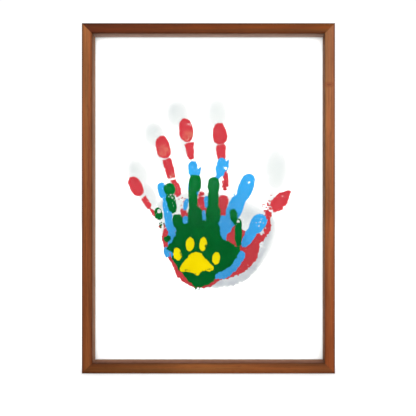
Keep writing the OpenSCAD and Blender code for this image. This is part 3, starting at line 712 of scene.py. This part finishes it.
# Sizes in millimetres: the fillet between pad and palm, the waves that roughen the edges, the palm's own
# waves, the streaks of dry paint, the flecks, the patches that they gather in, the margin inside the edge
# that has none, and the smallest dot's radius
FINGER_ROUNDING = 0.4
EDGE_WAVES = (3.2, 1.3, 0.6)
PALM_WAVE = 2
STREAK_WIDTH = 1.7
FLECK_SIZE = 0.9
FLECK_PATCH = 9
FLECK_MARGIN = 0.5
DOT_RADIUS = 0.4
# How far, in millimetres, the noises of dry paint and of the flecks move the print's edge
DRY_DEPTH = 7
FLECK_DEPTH = 9
# What is added to a print's seed for its dots
SPRAY_SEED = 100
# A loop's points may stray by this share of a grid step, and a loop of fewer points is dropped
LOOP_TOLERANCE = 0.08
FEWEST_POINTS = 6


def grid(step):
    """The x and z of every point of the grid, in millimetres."""
    columns = np.arange(PRINT_LOW[0], PRINT_HIGH[0], step)
    rows = np.arange(PRINT_LOW[1], PRINT_HIGH[1], step)
    return np.meshgrid(columns, rows)


def value_noise(shape, cell, rng):
    """Smooth random numbers of 0 to 1 over a grid, with one free value every cell points."""
    rows, columns = (int(n / cell) + 2 for n in shape)
    values = rng.random((rows, columns))
    at = [np.arange(n) / cell for n in shape]
    whole = [a.astype(int) for a in at]
    part = [a - w for a, w in zip(at, whole)]
    share = [p * p * (3 - 2 * p) for p in part]
    r, c = np.ix_(whole[0], whole[1])
    down, right = share[0][:, None], share[1][None, :]
    top = values[r, c] * (1 - right) + values[r, c + 1] * right
    bottom = values[r + 1, c] * (1 - right) + values[r + 1, c + 1] * right
    return top * (1 - down) + bottom * down


def pad_distance(pad, x, z):
    """Roughly how far each point lies outside a pad, in millimetres; negative is inside."""
    tilt = math.radians(pad.tilt)
    dx, dz = x - pad.x, z - pad.z
    u = dx * math.cos(tilt) + dz * math.sin(tilt)
    v = dz * math.cos(tilt) - dx * math.sin(tilt)
    u = u / (1 + pad.taper * np.clip(v / pad.half_l, -1, 1))
    reach = (np.abs(u / pad.half_w) ** pad.square + np.abs(v / pad.half_l) ** pad.square) ** (1 / pad.square)
    return (reach - 1) * min(pad.half_w, pad.half_l)


def segment_distance(x, z, start, end):
    """How far each point lies from the straight line between start and end."""
    (ax, az), (bx, bz) = start, end
    share = ((x - ax) * (bx - ax) + (z - az) * (bz - az)) / ((bx - ax) ** 2 + (bz - az) ** 2)
    share = np.clip(share, 0, 1)
    return np.hypot(x - ax - share * (bx - ax), z - az - share * (bz - az))


def rounded(points, cuts=2):
    """A closed outline with its corners cut, so that it runs smoothly past its points."""
    points = np.array(points, float)
    for _ in range(cuts):
        after = np.roll(points, -1, axis=0)
        pairs = np.stack([0.75 * points + 0.25 * after, 0.25 * points + 0.75 * after], axis=1)
        points = pairs.reshape(-1, 2)
    return points


def outline_distance(points, x, z):
    """How far each point lies outside an outline, in millimetres; negative is inside."""
    outline = rounded(points)
    distance = np.full(x.shape, np.inf)
    inside = np.zeros(x.shape, bool)
    for start, end in zip(outline, np.roll(outline, -1, axis=0)):
        distance = np.minimum(distance, segment_distance(x, z, start, end))
        rising = (start[1] <= z) != (end[1] <= z)
        slope = (end[0] - start[0]) / ((end[1] - start[1]) or 1)
        inside ^= rising & (x < start[0] + (z - start[1]) * slope)
    return np.where(inside, -distance, distance)


def merged(a, b, rounding):
    """The union of two distance fields, with a fillet between them."""
    share = np.clip(0.5 + 0.5 * (b - a) / rounding, 0, 1)
    return b * (1 - share) + a * share - rounding * share * (1 - share)


def print_field(look, step):
    """The distance field of one print on the grid, with ragged edges, dry patches, flecks, dots and holes."""
    rng = np.random.default_rng(look.seed)
    x, z = grid(step)

    def waves(size):
        return value_noise(x.shape, max(size / step, 1), rng)

    coarse, middle, fine = (waves(size) - 0.5 for size in EDGE_WAVES)
    streak = waves(STREAK_WIDTH)
    field = np.min([outline_distance(points, x, z) for points in look.outlines], axis=0)
    field = field + look.ragged * (1.6 * (waves(PALM_WAVE) - 0.5) + middle)
    for pad in look.pads:
        distance = pad_distance(pad, x, z)
        if pad.dry:
            bare = np.clip(streak + 0.6 * middle + 0.4 * fine - 0.5, 0, 1)
            distance = distance + pad.dry * DRY_DEPTH * bare
        field = merged(field, distance, FINGER_ROUNDING)
    field = field + look.ragged * (0.5 * coarse + 0.8 * middle + 0.8 * fine)
    flecks = FLECK_DEPTH * (waves(FLECK_SIZE) * waves(FLECK_PATCH) - look.flecks)
    field = np.maximum(field, np.where(field < -FLECK_MARGIN, flecks, -1))
    for dot_x, dot_z, radius in spray_dots(look):
        field = np.minimum(field, np.hypot(x - dot_x, z - dot_z) - radius)
    for hole_x, hole_z, radius in look.holes:
        field = np.maximum(field, radius - np.hypot(x - hole_x, z - hole_z) + middle + fine)
    return field


def spray_dots(look):
    """The small dots of a print's sprays: x, z and radius, up to twice the smallest one."""
    rng = np.random.default_rng(look.seed + SPRAY_SEED)
    for spray_x, spray_z, reach, count in look.sprays:
        for turn, share, growth in rng.random((count, 3)):
            away = reach * math.sqrt(share)
            angle = 2 * math.pi * turn
            dot_x = spray_x + away * math.cos(angle)
            dot_z = spray_z + away * math.sin(angle)
            yield dot_x, dot_z, DOT_RADIUS * (1 + growth)


def contour_loops(field):
    """The closed outlines where the field is zero, as lists of (column, row) on the grid."""
    field = field.copy()
    field[[0, -1], :] = 1
    field[:, [0, -1]] = 1
    inside = field < 0
    corners = ((0, 0), (1, 0), (1, 1), (0, 1))
    # Which of each cell's corners are inside, as four bits: 0 is none of them and 15 is all
    kinds = sum(
        inside[r:r - 1 or None, c:c - 1 or None].astype(int) << i for i, (c, r) in enumerate(corners)
    )
    next_point, points = {}, {}

    def edge(row, column, side):
        """The crossing on one side of a cell, named so that the next cell finds the same one."""
        (c0, r0), (c1, r1) = corners[side], corners[(side + 1) % 4]
        a, b = (row + r0, column + c0), (row + r1, column + c1)
        key = (min(a, b), max(a, b))
        if key not in points:
            share = field[a] / (field[a] - field[b])
            points[key] = (a[1] + (b[1] - a[1]) * share, a[0] + (b[0] - a[0]) * share)
        return key

    for row, column in zip(*np.nonzero((kinds > 0) & (kinds < 15))):
        kind = kinds[row, column]
        signs = [bool(kind >> i & 1) for i in range(4)]
        leaving = [i for i in range(4) if signs[i] and not signs[(i + 1) % 4]]
        entering = [i for i in range(4) if not signs[i] and signs[(i + 1) % 4]]
        for out_side in leaving:
            in_side = min(entering, key=lambda i: (i - out_side) % 4)
            next_point[edge(row, column, out_side)] = edge(row, column, in_side)

    loops = []
    while next_point:
        start, key = next_point.popitem()
        loop = [points[start]]
        while key != start:
            loop.append(points[key])
            key = next_point.pop(key)
        loops.append(loop)
    return loops


def simplified(loop, tolerance):
    """The loop without the points that lie within tolerance of the line between their neighbours."""
    kept = [np.array(loop[0])]
    for point, after in zip(loop[1:], loop[2:] + loop[:1]):
        chord = np.array(after) - kept[-1]
        offset = np.array(point) - kept[-1]
        length = math.hypot(*chord)
        if length < 1e-9 or abs(chord[0] * offset[1] - chord[1] * offset[0]) / length > tolerance:
            kept.append(np.array(point))
    return kept


def add_film(node, slot, look, material):
    """One print as a thin film with holes, at the level of its CAD node."""
    low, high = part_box(node)
    curve = bpy.data.curves.new(node + "_outline", "CURVE")
    curve.dimensions = "2D"
    curve.fill_mode = "BOTH"
    curve.extrude = (high.y - low.y) / 2
    for loop in contour_loops(print_field(look, PRINT_STEP)):
        loop = simplified(loop, LOOP_TOLERANCE)
        if len(loop) < FEWEST_POINTS:
            continue
        spline = curve.splines.new("POLY")
        spline.points.add(len(loop) - 1)
        for point, (column, row) in zip(spline.points, loop):
            flat_x = (PRINT_LOW[0] + column * PRINT_STEP) * MM
            flat_z = (PRINT_LOW[1] + row * PRINT_STEP) * MM
            point.co = (flat_x, flat_z, 0, 1)
        spline.use_cyclic_u = True
    drawn = bpy.data.objects.new("outline", curve)
    bpy.context.collection.objects.link(drawn)
    mesh = bpy.data.meshes.new_from_object(drawn.evaluated_get(bpy.context.evaluated_depsgraph_get()))
    bpy.data.objects.remove(drawn)
    bpy.data.curves.remove(curve)
    co = np.empty(len(mesh.vertices) * 3)
    mesh.vertices.foreach_get("co", co)
    flat_x, flat_z, depth = co.reshape(-1, 3).T
    co = np.stack([flat_x, (low.y + high.y) / 2 - depth, flat_z + MID_Z], axis=1)
    mesh.vertices.foreach_set("co", co.ravel())
    mesh.update()
    mesh.materials.clear()
    add_piece("paint_" + node, mesh, material, slot, "frame", node)


def add_piece(name, mesh, material, slot, body, *replaced):
    """A visible piece that rides on a body in place of the CAD nodes that it replaces."""
    piece = bpy.data.objects.new(name, mesh)
    bpy.context.collection.objects.link(piece)
    mesh.materials.append(material)
    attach(piece, body)
    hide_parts(*replaced)
    return piece


# The white print, in millimetres. A shadow is painted in grey from the thumb round the heel of the hand and
# fades out over the reach below, and a few clouds of painted shade lie between the fingers: x, z, radius and
# strength. A noise with waves of the mottle's size below breaks them up.
SHADOW_EDGE = [(56, -20), (52, -34), (48, -44), (47, -54), (42, -63), (33, -71), (20, -76), (4, -77)]
SHADOW_REACH = 7.5
SHADOW_CLOUDS = [
    (-45, -4, 6, 0.9), (-52, 8, 8, 0.45), (-70, 29, 7, 0.4), (-52, 64, 7, 0.45), (-32, 82, 8, 0.4),
    (3, 82, 5, 0.25), (36, -14, 7, 0.7), (14, 4, 6, 0.4), (66, 34, 6, 0.2),
]
SHADOW_MOTTLE = 5
SHADOW_SEED = 31
# The paint fades over the first width at the heel and over the second above it
WHITE_EDGE = (1.6, 8)
WHITE_EDGE_Z = (-72, -52)


def white_looks(x, z):
    """How fully the white paint covers the paper and how much painted shadow greys it, each 0 to 1 on the
    grid.
    """
    field = print_field(WHITE, WHITE_STEP)
    cover = np.clip((1 - field) / np.interp(z, WHITE_EDGE_Z, WHITE_EDGE), 0, 1)
    cover = cover * cover * (3 - 2 * cover)
    away = np.min([segment_distance(x, z, *ends) for ends in zip(SHADOW_EDGE, SHADOW_EDGE[1:])], axis=0)
    shade = np.exp(-(away / SHADOW_REACH) ** 2)
    for cloud_x, cloud_z, radius, strength in SHADOW_CLOUDS:
        cloud = strength * np.exp(-((x - cloud_x) ** 2 + (z - cloud_z) ** 2) / radius ** 2)
        shade = np.maximum(shade, cloud)
    mottle = value_noise(x.shape, SHADOW_MOTTLE, np.random.default_rng(SHADOW_SEED)) - 0.5
    return cover, np.clip(shade * (0.8 + 0.5 * mottle), 0, 1)


def add_white_hand(material):
    """The white print: a film on a grid, which takes the paper's colour at its edge."""
    low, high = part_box("handprint_white")
    x, z = grid(WHITE_STEP)
    cover, shade = white_looks(x, z)
    used = cover > 0
    rows, columns = np.nonzero(used[:-1, :-1] | used[1:, :-1] | used[:-1, 1:] | used[1:, 1:])
    index = np.arange(x.size).reshape(x.shape)
    around = ((0, 0), (0, 1), (1, 1), (1, 0))
    faces = np.stack([index[rows + down, columns + right] for down, right in around], axis=1)
    kept, faces = np.unique(faces, return_inverse=True)
    places = [x.ravel()[kept] * MM, np.full(len(kept), low.y), z.ravel()[kept] * MM + MID_Z]
    mesh = bpy.data.meshes.new("white_hand")
    mesh.from_pydata(np.stack(places, axis=1).tolist(), [], faces.reshape(-1, 4).tolist())
    for name, values in (("cover", cover), ("shade", shade)):
        attribute = mesh.attributes.new(name, "FLOAT", "POINT")
        attribute.data.foreach_set("value", values.ravel()[kept].astype(np.float32))
    piece = add_piece("paint_handprint_white", mesh, material, "white_paint", "frame", "handprint_white")
    solid = piece.modifiers.new("film", "SOLIDIFY")
    solid.thickness = high.y - low.y
    solid.offset = -1


# CAD nodes that keep their shape and get their finish here
def dress(node, material):
    piece = nodes[node]
    piece.data.materials.clear()
    piece.data.materials.append(material)


def dress_frame():
    for rail, rail_look in RAIL_LOOKS.items():
        dress(rail, wood(rail, rail_look))
    dress("clear_front", clear_pane("clear_front"))
    dress("print_sheet", paper("print_sheet"))
    dress("filler_card", card("filler_card"))
    dress("back_board", fibreboard("back_board", dark=(126, 90, 58), light=(156, 118, 80), seed=1))
    dress("easel_leg", fibreboard("easel_leg", dark=(98, 66, 41), light=(126, 89, 58), seed=6))
    zinc = plated_steel(
        "zinc", dark=(112, 114, 118), light=(168, 170, 173), rough=0.3, brush=(2400, 2400, 90),
    )
    nickel = plated_steel(
        "nickel", dark=(150, 147, 141), light=(176, 173, 166), rough=0.24, brush=(120, 2600, 2600),
    )
    for name in nodes:
        if name.startswith("turn_button") or name in ("corner_v_nails", "button_screws"):
            dress(name, zinc)
        elif name.startswith("leg_hinge") or name.endswith(("_rivets", "_strap", "_ring")):
            dress(name, nickel)


def add_prints():
    films = [
        ("handprint_red", "red_paint", RED), ("handprint_blue", "blue_paint", BLUE),
        ("handprint_green", "green_paint", GREEN), ("pawprint_yellow", "yellow_paint", PAW),
    ]
    for node, slot, look in films:
        add_film(node, slot, look, paint(node, PAINTS[node]))
    add_white_hand(white_paint("handprint_white"))


add_camera()
add_studio()
dress_frame()
add_prints()
